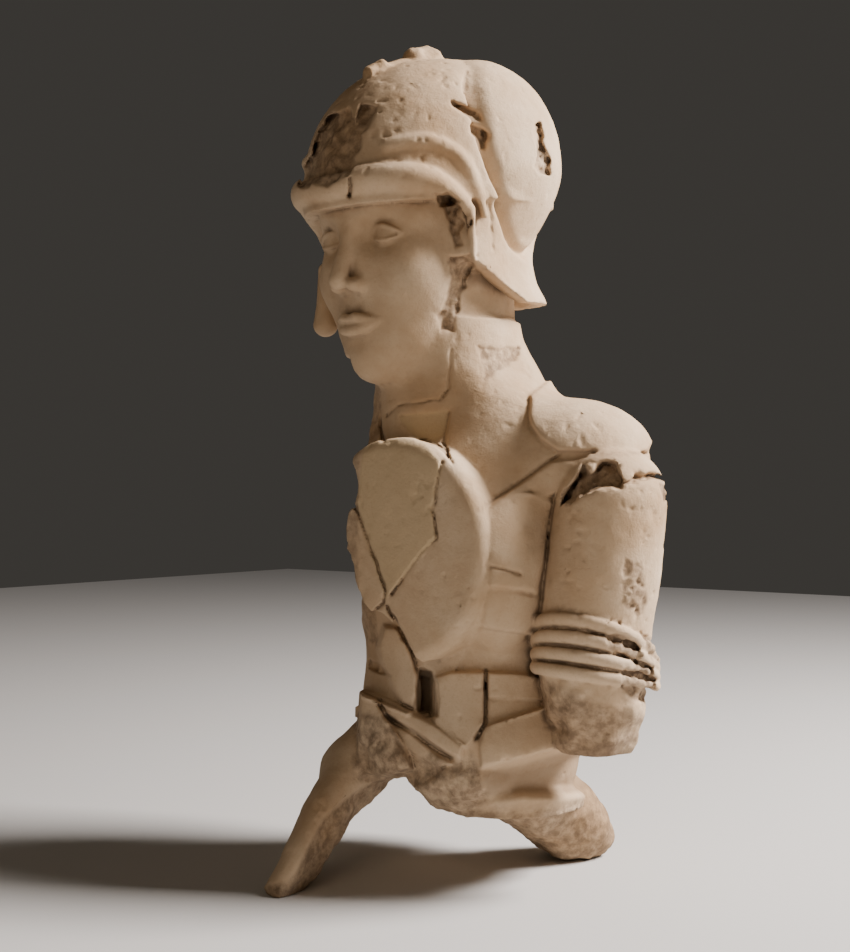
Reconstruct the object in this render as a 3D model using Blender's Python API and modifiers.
"""Carved limestone fragment of a helmeted warrior: head, torso with a broken chest disc, left arm with a
coiled bracelet, belt, skirt and the stumps of both legs. One block of stone, metres, +Z up, chest toward -Y.

Places are counted from a point under the middle of the torso, near the level of the broken leg ends. The
head, its face and its helmet are drawn in the head's own frame and then set on the neck.
"""

import math

import bmesh
import bpy
import numpy as np
from mathutils import Matrix, Vector

NAME = "warrior_statue"

# Steps round a disc or bowl, and round a coil or along a roll.
FINE_STEPS = 64
COARSE_STEPS = 48

# Fineness of the merged stone, how much it is softened, and the number of finished facets.
VOXEL = 0.0026
SOFTENING = 4
FACETS = 8600

# Level of the plane on which the broken ends stand.
GROUND = 0.006

# Torso from skirt to neck: height, centre x, centre y, half width, half depth.
TORSO = (
    (0.066, 0.012, 0.006, 0.086, 0.066),
    (0.085, 0.012, 0.004, 0.094, 0.076),
    (0.12, 0.01, 0.002, 0.098, 0.08),
    (0.15, 0.006, 0.0, 0.091, 0.074),
    (0.18, 0.004, 0.0, 0.087, 0.07),
    (0.22, 0.004, 0.0, 0.094, 0.076),
    (0.26, 0.004, 0.0, 0.106, 0.084),
    (0.3, 0.004, 0.0, 0.116, 0.086),
    (0.34, 0.004, 0.002, 0.124, 0.078),
    (0.364, 0.002, 0.004, 0.116, 0.068),
    (0.382, -0.002, 0.002, 0.094, 0.061),
    (0.396, -0.005, -0.004, 0.074, 0.057),
    (0.412, -0.006, -0.01, 0.06, 0.055),
    (0.45, -0.008, -0.012, 0.056, 0.056),
)

# Power of the torso's squared oval, 2 being an ellipse, and the number of levels it is skinned over.
TORSO_SQUARENESS = 2.3
TORSO_STEPS = 60

# Masses that swell from the torso: centre and half axes.
SWELLINGS = {
    "shoulder": ((0.098, 0.004, 0.334), (0.066, 0.056, 0.046)),
    "shoulder_pad": ((0.104, 0.002, 0.35), (0.052, 0.048, 0.031)),
    "pectoral": ((0.067, -0.043, 0.256), (0.042, 0.048, 0.07)),
    "nape": ((0.014, 0.014, 0.394), (0.046, 0.036, 0.042)),
    "shoulder_blades": ((0.004, 0.052, 0.3), (0.086, 0.034, 0.06)),
    "groin": ((0.03, -0.038, 0.09), (0.046, 0.042, 0.026)),
}

# Belt and hem: lower edge, upper edge, height over the torso.
BELTS = {
    "belt_high": (0.157, 0.177, 0.006),
    "belt_low": (0.134, 0.155, 0.0045),
    "hem": (0.104, 0.131, 0.004),
}
BELT_BEVEL = 0.002

# Straps on the torso: places as x and z along the middle, half width, thickness, -1 for front or 1 for back.
STRAPS = {
    "upright_strap": (((-0.012, 0.207), (-0.006, 0.188), (-0.002, 0.166), (0.001, 0.146)), 0.015, 0.009, -1),
    "collar_edge": (((0.072, 0.302), (0.088, 0.313), (0.102, 0.326), (0.114, 0.337)), 0.003, 0.003, -1),
    "buckle": (((0.046, 0.176), (0.048, 0.155), (0.05, 0.132)), 0.019, 0.01, -1),
    "right_band": (((-0.023, 0.142), (0.016, 0.13), (0.052, 0.116)), 0.007, 0.012, -1),
    "right_band_lower": (((-0.016, 0.13), (0.012, 0.119), (0.039, 0.106)), 0.004, 0.009, -1),
    "left_band": (((0.068, 0.12), (0.088, 0.127), (0.103, 0.133)), 0.017, 0.01, -1),
    "skirt_piece": (((-0.044, 0.146), (-0.033, 0.128), (-0.026, 0.11), (-0.026, 0.095)), 0.02, 0.008, -1),
    "back_strap_left": (((0.03, 0.35), (0.07, 0.378)), 0.016, 0.006, 1),
    "back_strap_low": (((0.005, 0.2), (0.005, 0.15)), 0.016, 0.007, 1),
}

# How deep a strap is rooted in the torso, and the share of its thickness at its edges.
STRAP_ROOT = 0.012
STRAP_EDGE = 0.35

# Chest disc and back disc: centre of the rear plane, radius, height of the face.
CHEST_DISC = (0.003, -0.074, 0.268)
CHEST_RADIUS = 0.0875
CHEST_RISE = 0.024
BACK_DISC = (0.005, 0.062, 0.27)
BACK_RADIUS = 0.082
BACK_RISE = 0.022

# Section of a disc from its rear plane to the middle of its face: share of the rise, share of the radius.
DISC_PROFILE = (
    (0.0, 0.97),
    (0.35, 1.0),
    (0.7, 0.995),
    (0.88, 0.965),
    (0.96, 0.86),
    (1.0, 0.55),
    (1.02, 0.12),
)

# Broken right edge of the chest disc, as x and z from the neck down.
CHEST_BREAK = (
    (-0.024, 0.372),
    (-0.027, 0.361),
    (-0.038, 0.346),
    (-0.033, 0.329),
    (-0.03, 0.313),
    (-0.034, 0.303),
    (-0.043, 0.285),
    (-0.041, 0.268),
    (-0.034, 0.257),
    (-0.033, 0.244),
    (-0.026, 0.23),
    (-0.018, 0.221),
    (-0.007, 0.221),
    (0.008, 0.21),
    (0.019, 0.194),
    (0.028, 0.182),
    (0.034, 0.15),
)

# Head: middle of the skull, turn to the figure's right and bow in degrees.
HEAD = (-0.0226, -0.0177, 0.53)
HEAD_TURN = -8.0
HEAD_BOW = 4.0

# Masses of the face and skull in the head's frame: centre and half axes. Paired ones are mirrored.
FACE = {
    "skull": ((0.0, -0.006, 0.008), (0.074, 0.088, 0.104)),
    "face": ((0.0, -0.03, -0.046), (0.064, 0.06, 0.082)),
    "jaw": ((0.0, -0.03, -0.084), (0.049, 0.05, 0.04)),
    "chin": ((0.0, -0.064, -0.106), (0.024, 0.021, 0.021)),
    "lips": ((0.0, -0.083, -0.08), (0.024, 0.011, 0.01)),
    "nose_tip": ((0.0, -0.095, -0.05), (0.013, 0.014, 0.011)),
}
FACE_PAIRS = {
    "eye": ((0.031, -0.077, -0.012), (0.016, 0.009, 0.008)),
    "cheek": ((0.036, -0.058, -0.044), (0.024, 0.022, 0.024)),
}
NOSE = (((0.0, -0.079, 0.012), 0.008, 0.01), ((0.0, -0.093, -0.048), 0.012, 0.013))

# Throat in the statue's frame: centre and radius.
THROAT = (((-0.008, -0.012, 0.36), 0.058), ((-0.008, -0.012, 0.43), 0.056), ((-0.008, -0.012, 0.48), 0.058))

# Helmet bowl in the head's frame: its level, half width, half depths, height, fullness and lean to the back,
# the number of its rings, and the angle at which they stop under the crown.
BOWL_LEVEL = 0.015
BOWL_HALF_WIDTH = 0.095
BOWL_FRONT = 0.107
BOWL_BACK = 0.106
BOWL_HEIGHT = 0.119
BOWL_FULLNESS = 2.5
BOWL_LEAN = 0.015
BOWL_RINGS = 14
CROWN_ANGLE = 87.3

# Wall under the bowl: level and share of the bowl's radius, degrees left open, rise of its foot behind.
WALL = ((0.026, 0.98), (-0.004, 0.90), (-0.028, 0.82), (-0.05, 0.84), (-0.066, 0.92))
WALL_OPENING = 106.0
WALL_RISE = 0.01

# Brow roll: level on the bowl, half angle from the front, radius, how far it is sunk, ends beside the face.
BROW_LEVEL = 0.025
BROW_SPREAD = 50.0
BROW_RADIUS = 0.011
BROW_SINK = 0.001
BROW_ENDS = (
    (0.081, -0.052, 0.008),
    (0.083, -0.042, -0.008),
    (0.079, -0.036, -0.028),
    (0.077, -0.035, -0.046),
)

# Ridge over the brow roll: radius, how far it is sunk, and places as angle on the bowl and level.
RIDGE_RADIUS = 0.0055
RIDGE_SINK = 0.002
RIDGE = ((-62, 0.053), (-50, 0.054), (-37, 0.05), (-27, 0.036), (-20, 0.014))

# Side discs: angle behind the ear line, distance, level and half axes; the right one is a little smaller.
SIDE_SWING = 26.0
SIDE_OUT = 0.084
SIDE_LEVEL = 0.044
SIDE_AXES = (0.02, 0.058, 0.068)
SIDE_RIGHT_SHARE = 0.94

# Cheek pieces: the right one ends in a lobe, the left one is broken short.
CHEEK_PIECE = (((-0.073, -0.04, -0.034), 0.014, 0.02), ((-0.077, -0.046, -0.07), 0.012, 0.017))
CHEEK_LOBE = ((-0.077, -0.046, -0.07), (0.012, 0.018, 0.014))
CHEEK_STUMP = ((0.075, -0.05, 0.002), (0.074, -0.053, -0.04), (0.07, -0.056, -0.06))
CHEEK_STUMP_RADIUS = 0.0075

# Broken crest: two stubs as y, level over the bowl and half axes, and the radius and span of the ridge.
CREST_STUBS = {
    "crest_front": (-0.054, -0.015, (0.008, 0.01, 0.008)),
    "crest_top": (0.003, 0.001, (0.013, 0.017, 0.012)),
}
CREST_RADIUS = 0.006
CREST_SPAN = (-0.064, 0.062)

# Left arm: shoulder ball, axis stations as centre and radius, and the web that ties it to the torso.
ARM_TOP = ((0.146, -0.015, 0.308), (0.044, 0.046, 0.044))
ARM = (
    ((0.148, -0.015, 0.31), 0.044),
    ((0.14, -0.014, 0.259), 0.0455),
    ((0.132, -0.0125, 0.218), 0.0455),
    ((0.132, -0.0125, 0.182), 0.0435),
    ((0.132, -0.0125, 0.168), 0.0405),
    ((0.132, -0.0125, 0.156), 0.037),
    ((0.132, -0.0125, 0.143), 0.0335),
    ((0.132, -0.0125, 0.126), 0.0275),
    ((0.132, -0.0115, 0.12), 0.022),
)
ARM_WEB = (((0.104, 0.006, 0.172), 0.045, 0.026), ((0.104, 0.006, 0.3), 0.045, 0.026))

# Coiled bracelet: centre, radius, radius of a coil; each coil's level and its slopes toward +x and +y.
BRACELET = (0.132, -0.0125)
BRACELET_RADIUS = 0.045
COIL_RADIUS = 0.0055
COILS = (
    (0.1976, 0.030, -0.492),
    (0.1896, 0.003, -0.387),
    (0.1815, -0.023, -0.283),
    (0.1735, -0.049, -0.178),
)
COIL_SLOPE_BEHIND = -0.20

# Right leg down to its broken end: centre, half width across the view of the break, half depth along it.
RIGHT_LEG = (
    ((-0.05, -0.054, 0.108), 0.026, 0.036),
    ((-0.0505, -0.066, 0.094), 0.0265, 0.038),
    ((-0.052, -0.085, 0.076), 0.025, 0.041),
    ((-0.057, -0.106, 0.051), 0.022, 0.043),
    ((-0.063, -0.129, 0.023), 0.016, 0.041),
    ((-0.066, -0.141, 0.008), 0.015, 0.04),
    ((-0.068, -0.147, 0.0), 0.0145, 0.039),
)
BREAK_HEADING = 128.0
RIGHT_HIP = ((-0.0595, -0.0655, 0.086), (0.031, 0.033, 0.027))

# Left thigh to its broken end: centre, half width and half height across its axis.
LEFT_THIGH = (
    ((0.032, -0.031, 0.112), 0.04, 0.036),
    ((0.039, 0.017, 0.078), 0.04, 0.034),
    ((0.047, 0.066, 0.046), 0.037, 0.033),
    ((0.051, 0.085, 0.03), 0.034, 0.031),
    ((0.052, 0.095, 0.021), 0.029, 0.026),
)

# Broken right flank: an upright plane, turned a little to the front, between two levels.
FLANK_X = -0.07
FLANK_TURN = 14.0
FLANK_LEVELS = (0.195, 0.415)

# Slanted break under the skirt as x and z, and the hollow beside the upright strap.
SKIRT_BREAK = ((-0.2, 0.089), (-0.021, 0.091), (0.028, 0.067), (0.028, 0.0), (-0.2, 0.0))
HOLLOW = ((0.024, -0.086, 0.157), (0.007, 0.02, 0.022))
REACH = 0.2

PARTS = bpy.data.collections.new(NAME)
CUTTERS = bpy.data.collections.new("cutters")


def clear_file():
    """Removes every object, so that the file holds only this statue."""
    for item in list(bpy.data.objects):
        bpy.data.objects.remove(item)
    for collection in (PARTS, CUTTERS):
        bpy.context.scene.collection.children.link(collection)


def keep(bm, name, collection=PARTS):
    """Turns a bmesh into an object with its faces outward."""
    bmesh.ops.recalc_face_normals(bm, faces=bm.faces)
    mesh = bpy.data.meshes.new(name)
    bm.to_mesh(mesh)
    bm.free()
    item = bpy.data.objects.new(name, mesh)
    collection.objects.link(item)
    return item


def loft(name, rings, collection=PARTS):
    """Solid skinned over closed rings of points and capped at both ends."""
    bm = bmesh.new()
    loops = [[bm.verts.new(point) for point in ring] for ring in rings]
    for low, high in zip(loops, loops[1:]):
        for i in range(len(low)):
            j = (i + 1) % len(low)
            bm.faces.new((low[i], low[j], high[j], high[i]))
    bm.faces.new(list(reversed(loops[0])))
    bm.faces.new(loops[-1])
    return keep(bm, name, collection)


def ball(name, centre, radii, turn=None):
    """Ellipsoid with its own turn about its centre."""
    bm = bmesh.new()
    matrix = Matrix.Translation(centre) @ (turn or Matrix.Identity(4)) @ Matrix.Diagonal((*radii, 1.0))
    bmesh.ops.create_uvsphere(bm, u_segments=40, v_segments=24, radius=1.0, matrix=matrix)
    return keep(bm, name)


def cord(name, points, radius, closed=False):
    """Round bead along a line of points, made with a bevelled curve."""
    curve = bpy.data.curves.new(name, "CURVE")
    curve.dimensions = "3D"
    curve.bevel_depth = radius
    curve.bevel_resolution = 3
    curve.use_fill_caps = True
    spline = curve.splines.new("POLY")
    spline.points.add(len(points) - 1)
    spline.use_cyclic_u = closed
    for slot, point in zip(spline.points, points):
        slot.co = (*point, 1.0)
    item = bpy.data.objects.new(name, curve)
    PARTS.objects.link(item)
    bpy.context.view_layer.update()
    shape = item.evaluated_get(bpy.context.evaluated_depsgraph_get())
    mesh = bpy.data.meshes.new_from_object(shape)
    bpy.data.objects.remove(item)
    solid = bpy.data.objects.new(name, mesh)
    PARTS.objects.link(solid)
    return solid


def oval(centre, side, deep, steps=36):
    """Ring of points around a centre, along two half axes."""
    angles = [2 * math.pi * i / steps for i in range(steps)]
    return [centre + side * math.cos(a) + deep * math.sin(a) for a in angles]


def level_limb(name, stations, heading=0.0):
    """Loft over level ovals: centre, half width across the heading and half depth along it."""
    side = Vector((math.cos(heading), math.sin(heading), 0))
    deep = Vector((-math.sin(heading), math.cos(heading), 0))
    return loft(name, [oval(Vector(centre), side * wide, deep * far) for centre, wide, far in stations])


def leaning_limb(name, stations):
    """Loft over ovals that stand square to the limb's own run: centre, half width and half height."""
    run = (Vector(stations[-1][0]) - Vector(stations[0][0])).normalized()
    side = run.cross(Vector((0, 0, 1))).normalized()
    up = side.cross(run)
    return loft(name, [oval(Vector(centre), side * wide, up * tall) for centre, wide, tall in stations])


def torso_at(z):
    """Centre and half sizes of the torso at a height, eased between the stated sections."""
    table = np.array(TORSO, dtype=float)
    z = min(max(z, table[0, 0]), table[-1, 0])
    i = min(int(np.searchsorted(table[:, 0], z, side="right")) - 1, len(table) - 2)
    slopes = np.gradient(table[:, 1:], table[:, 0], axis=0)
    span = table[i + 1, 0] - table[i, 0]
    t = (z - table[i, 0]) / span
    a, b = table[i, 1:], table[i + 1, 1:]
    h = 3 * t * t - 2 * t * t * t
    rise = (t - 2 * t * t + t * t * t) * slopes[i] + (t * t * t - t * t) * slopes[i + 1]
    return a * (1 - h) + b * h + rise * span


def torso_ring(z, out=0.0):
    """Outline of the torso at a height, grown outward by a distance."""
    cx, cy, half_x, half_y = torso_at(z)
    power = 2.0 / TORSO_SQUARENESS
    ring = []
    for i in range(FINE_STEPS):
        angle = 2 * math.pi * i / FINE_STEPS
        c, s = math.cos(angle), math.sin(angle)
        x = math.copysign(abs(c) ** power, c) * (half_x + out)
        y = math.copysign(abs(s) ** power, s) * (half_y + out)
        ring.append(Vector((cx + x, cy + y, z)))
    return ring


def chest_y(x, z, out=0.0):
    """Front surface of the torso at a place, moved outward by a distance."""
    cx, cy, half_x, half_y = torso_at(z)
    share = min(abs((x - cx) / (half_x + out)), 0.985)
    return cy - (half_y + out) * (1 - share**TORSO_SQUARENESS) ** (1 / TORSO_SQUARENESS)


def strap(name, path, half_width, thick, side):
    """Flat band laid on the front or back of the torso along a line of x and z places."""
    rings = []
    for i, (x, z) in enumerate(path):
        ahead = path[min(i + 1, len(path) - 1)]
        behind = path[max(i - 1, 0)]
        run = Vector((ahead[0] - behind[0], ahead[1] - behind[1])).normalized()
        outer, inner = [], []
        for share in (-1.0, -0.6, 0.0, 0.6, 1.0):
            px = x - run.y * share * half_width
            pz = z + run.x * share * half_width
            lift = thick * (STRAP_EDGE if abs(share) == 1.0 else 1.0)
            cy = torso_at(pz)[1]
            front_out = chest_y(px, pz, lift)
            front_in = chest_y(px, pz, -STRAP_ROOT)
            outer.append(Vector((px, front_out if side < 0 else 2 * cy - front_out, pz)))
            inner.append(Vector((px, front_in if side < 0 else 2 * cy - front_in, pz)))
        rings.append(outer + inner[::-1])
    return loft(name, rings)


def in_head(item):
    """Moves a form drawn in the head's own frame, face toward -y, to its place."""
    turn = Matrix.Rotation(math.radians(HEAD_TURN), 4, "Z")
    bow = Matrix.Rotation(math.radians(HEAD_BOW), 4, "X")
    item.data.transform(Matrix.Translation(HEAD) @ turn @ bow)
    return item


def on_bowl(degrees, level, out=0.0):
    """A place on the helmet bowl at an angle from the head's left, counted toward the back."""
    angle = math.radians(degrees)
    depth = BOWL_BACK if math.sin(angle) > 0 else BOWL_FRONT
    lift = max(level - BOWL_LEVEL, 0) / BOWL_HEIGHT
    shrink = (1 - lift**BOWL_FULLNESS) ** (1 / BOWL_FULLNESS)
    radius = shrink / math.hypot(math.cos(angle) / BOWL_HALF_WIDTH, math.sin(angle) / depth) + out
    return Vector((radius * math.cos(angle), radius * math.sin(angle) + BOWL_LEAN * lift * lift, level))


def mirrored(point):
    """The same place on the other side of the head."""
    return Vector((-point[0], point[1], point[2]))


def make_torso():
    """Body from skirt to neck, less the break under the skirt, with its belts and swellings."""
    low, top = TORSO[0][0], TORSO[-1][0]
    heights = [low + (top - low) * i / (TORSO_STEPS - 1) for i in range(TORSO_STEPS)]
    trunk = loft("torso", [torso_ring(z) for z in heights])
    rings = [[Vector((x, y, z)) for x, z in SKIRT_BREAK] for y in (-REACH, REACH)]
    lost = loft("lost_skirt", rings, CUTTERS)
    cut_away(trunk, lost)
    for name, (low, high, out) in BELTS.items():
        levels = (low, low + BELT_BEVEL, high - BELT_BEVEL, high)
        belt = loft(name, [torso_ring(z, grow) for z, grow in zip(levels, (0, out, out, 0))])
        cut_away(belt, lost)
    for name, (centre, radii) in SWELLINGS.items():
        ball(name, centre, radii)
    for name, (path, half_width, thick, side) in STRAPS.items():
        strap(name, path, half_width, thick, side)


def disc_rings(centre, radius, rise, side):
    """Rings of a round shield with a rolled edge and a slightly domed face."""
    rings = []
    for share, width in DISC_PROFILE:
        middle = Vector(centre) + Vector((0, side * rise * share, 0))
        reach = radius * width
        rings.append(oval(middle, Vector((reach, 0, 0)), Vector((0, 0, reach)), FINE_STEPS))
    return rings


def make_discs():
    """Chest disc with its right part broken away, and the whole disc on the back."""
    disc = loft("chest_disc", disc_rings(CHEST_DISC, CHEST_RADIUS, CHEST_RISE, -1))
    outline = list(CHEST_BREAK) + [(-REACH, CHEST_BREAK[-1][1]), (-REACH, CHEST_BREAK[0][1])]
    rings = [[Vector((x, y, z)) for x, z in outline] for y in (-REACH, 0)]
    cut_away(disc, loft("lost_disc_part", rings, CUTTERS))
    loft("back_disc", disc_rings(BACK_DISC, BACK_RADIUS, BACK_RISE, 1))


def make_head():
    """Plain youthful face and skull under the helmet, and the throat."""
    for name, (centre, radii) in FACE.items():
        in_head(ball(name, centre, radii))
    for name, (centre, radii) in FACE_PAIRS.items():
        in_head(ball(name, centre, radii))
        in_head(ball(name, mirrored(centre), radii))
    in_head(level_limb("nose", NOSE))
    level_limb("throat", [(centre, radius, radius) for centre, radius in THROAT])


def make_helmet():
    """Bowl, wall, brow roll with its ridge, side discs, cheek pieces and the broken crest."""
    rings = []
    for climb in np.linspace(0, math.radians(CROWN_ANGLE), BOWL_RINGS + 1):
        level = BOWL_LEVEL + BOWL_HEIGHT * math.sin(climb)
        rings.append([on_bowl(360 * k / FINE_STEPS, level) for k in range(FINE_STEPS)])
    in_head(loft("bowl", rings))

    rings = []
    for level, share in WALL:
        ring = []
        half = 180 - WALL_OPENING / 2
        for degrees in np.linspace(90 - half, 90 + half, COARSE_STEPS):
            point = on_bowl(degrees, BOWL_LEVEL) * share
            rise = WALL_RISE * max(math.sin(math.radians(degrees)), 0) if level == WALL[-1][0] else 0
            ring.append(Vector((point.x, point.y, level + rise)))
        rings.append(ring)
    in_head(loft("helmet_wall", rings))

    ends = [Vector(place) for place in BROW_ENDS]
    bow = np.linspace(-90 - BROW_SPREAD, -90 + BROW_SPREAD, COARSE_STEPS)
    arc = [on_bowl(degrees, BROW_LEVEL, -BROW_SINK) for degrees in bow]
    in_head(cord("brow_roll", [mirrored(place) for place in ends[::-1]] + arc + ends, BROW_RADIUS))
    ridge = [on_bowl(degrees, level, -RIDGE_SINK) for degrees, level in RIDGE]
    in_head(cord("brow_ridge_left", ridge, RIDGE_RADIUS))
    in_head(cord("brow_ridge_right", [mirrored(place) for place in ridge], RIDGE_RADIUS))

    swing = math.radians(SIDE_SWING)
    for side in (-1, 1):
        out = Vector((side * math.cos(swing), math.sin(swing), 0))
        turn = Matrix.Rotation(math.atan2(out.y, out.x), 4, "Z")
        size = 1.0 if side > 0 else SIDE_RIGHT_SHARE
        radii = (SIDE_AXES[0], SIDE_AXES[1] * size, SIDE_AXES[2] * size)
        in_head(ball("side_disc", out * SIDE_OUT + Vector((0, 0, SIDE_LEVEL)), radii, turn))
    in_head(level_limb("cheek_piece", CHEEK_PIECE))
    in_head(ball("cheek_lobe", *CHEEK_LOBE))
    in_head(cord("cheek_stump", CHEEK_STUMP, CHEEK_STUMP_RADIUS))

    for name, (y, over, radii) in CREST_STUBS.items():
        in_head(ball(name, (0, y, BOWL_LEVEL + BOWL_HEIGHT + over), radii))
    crest = []
    for y in np.linspace(*CREST_SPAN, COARSE_STEPS):
        share = abs((y - BOWL_LEAN) / BOWL_FRONT)
        rise = BOWL_HEIGHT * (1 - share**BOWL_FULLNESS) ** (1 / BOWL_FULLNESS)
        crest.append(Vector((0, y, BOWL_LEVEL + rise - CREST_RADIUS / 3)))
    in_head(cord("crest_root", crest, CREST_RADIUS))


def make_arm():
    """Left upper arm, coiled bracelet and the broken forearm."""
    ball("arm_top", *ARM_TOP)
    level_limb("arm", [(centre, radius, radius) for centre, radius in ARM])
    level_limb("arm_web", ARM_WEB)
    for level, slope_x, slope_y in COILS:
        points = []
        for i in range(COARSE_STEPS):
            angle = 2 * math.pi * i / COARSE_STEPS
            x, y = BRACELET_RADIUS * math.cos(angle), BRACELET_RADIUS * math.sin(angle)
            z = level + x * slope_x + y * (slope_y if y < 0 else COIL_SLOPE_BEHIND)
            points.append(Vector((BRACELET[0] + x, BRACELET[1] + y, z)))
        cord("coil", points, COIL_RADIUS, closed=True)


def make_legs():
    """Right leg forward, left thigh back, both broken off."""
    level_limb("right_leg", RIGHT_LEG, math.radians(BREAK_HEADING - 90))
    ball("right_hip", *RIGHT_HIP)
    leaning_limb("left_thigh", LEFT_THIGH)


def cut_away(item, cutter):
    """Takes a cutter's volume from a form, exactly."""
    cutter.hide_render = True
    cutter.display_type = "WIRE"
    step = item.modifiers.new("cut", "BOOLEAN")
    step.operation = "DIFFERENCE"
    step.solver = "EXACT"
    step.object = cutter
    settle(item)


def settle(item):
    """Replaces a form's mesh with the result of its modifiers."""
    bpy.context.view_layer.update()
    shape = item.evaluated_get(bpy.context.evaluated_depsgraph_get())
    mesh = bpy.data.meshes.new_from_object(shape)
    item.modifiers.clear()
    item.data = mesh


def join_forms():
    """One mesh holding every form, merged into a single skin."""
    bm = bmesh.new()
    for item in list(PARTS.objects):
        bm.from_mesh(item.data)
        bpy.data.objects.remove(item)
    mesh = bpy.data.meshes.new(NAME)
    bm.to_mesh(mesh)
    bm.free()
    statue = bpy.data.objects.new(NAME, mesh)
    PARTS.objects.link(statue)
    merge = statue.modifiers.new("merge", "REMESH")
    merge.mode = "VOXEL"
    merge.voxel_size = VOXEL
    soften = statue.modifiers.new("soften", "SMOOTH")
    soften.factor = 0.5
    soften.iterations = SOFTENING
    settle(statue)
    return statue


def block(name, centre, half, turn=0.0):
    """Upright cutting block, turned about its own middle by degrees."""
    bm = bmesh.new()
    spin = Matrix.Rotation(math.radians(turn), 4, "Z")
    size = Matrix.Diagonal((2 * half[0], 2 * half[1], 2 * half[2], 1.0))
    bmesh.ops.create_cube(bm, size=1.0, matrix=Matrix.Translation(centre) @ spin @ size)
    return keep(bm, name, CUTTERS)


def break_stone(statue):
    """Broken right flank and shoulder, and the hollow beside the strap."""
    low, high = FLANK_LEVELS
    half = (REACH / 2, REACH, (high - low) / 2)
    cut_away(statue, block("lost_flank", (FLANK_X - half[0], 0, (low + high) / 2), half, FLANK_TURN))
    cut_away(statue, block("strap_hollow", *HOLLOW))


def finish(statue):
    """Thins the facets, flattens the broken ends and puts the origin under the middle."""
    thin = statue.modifiers.new("thin", "DECIMATE")
    statue.data.calc_loop_triangles()
    thin.ratio = FACETS / len(statue.data.loop_triangles)
    settle(statue)
    bm = bmesh.new()
    bm.from_mesh(statue.data)
    stone = list(bm.verts) + list(bm.edges) + list(bm.faces)
    foot = (0, 0, GROUND)
    cut = bmesh.ops.bisect_plane(bm, geom=stone, plane_co=foot, plane_no=(0, 0, 1), clear_inner=True)
    rim = [edge for edge in cut["geom_cut"] if isinstance(edge, bmesh.types.BMEdge)]
    bmesh.ops.contextual_create(bm, geom=rim)
    bmesh.ops.triangulate(bm, faces=bm.faces)
    bmesh.ops.recalc_face_normals(bm, faces=bm.faces)
    xs = [vert.co.x for vert in bm.verts]
    ys = [vert.co.y for vert in bm.verts]
    shift = Vector((-(min(xs) + max(xs)) / 2, -(min(ys) + max(ys)) / 2, -GROUND))
    bmesh.ops.translate(bm, verts=bm.verts, vec=shift)
    bm.to_mesh(statue.data)
    bm.free()
    print("origin moved by", [round(value, 5) for value in shift])


def dress(statue):
    """Pale limestone."""
    stone = bpy.data.materials.new("limestone")
    stone.use_nodes = True
    surface = next(node for node in stone.node_tree.nodes if node.type == "BSDF_PRINCIPLED")
    surface.inputs["Base Color"].default_value = (0.52, 0.40, 0.28, 1.0)
    surface.inputs["Roughness"].default_value = 0.9
    statue.data.materials.clear()
    statue.data.materials.append(stone)


clear_file()
make_torso()
make_discs()
make_head()
make_helmet()
make_arm()
make_legs()
body = join_forms()
break_stone(body)
finish(body)
dress(body)
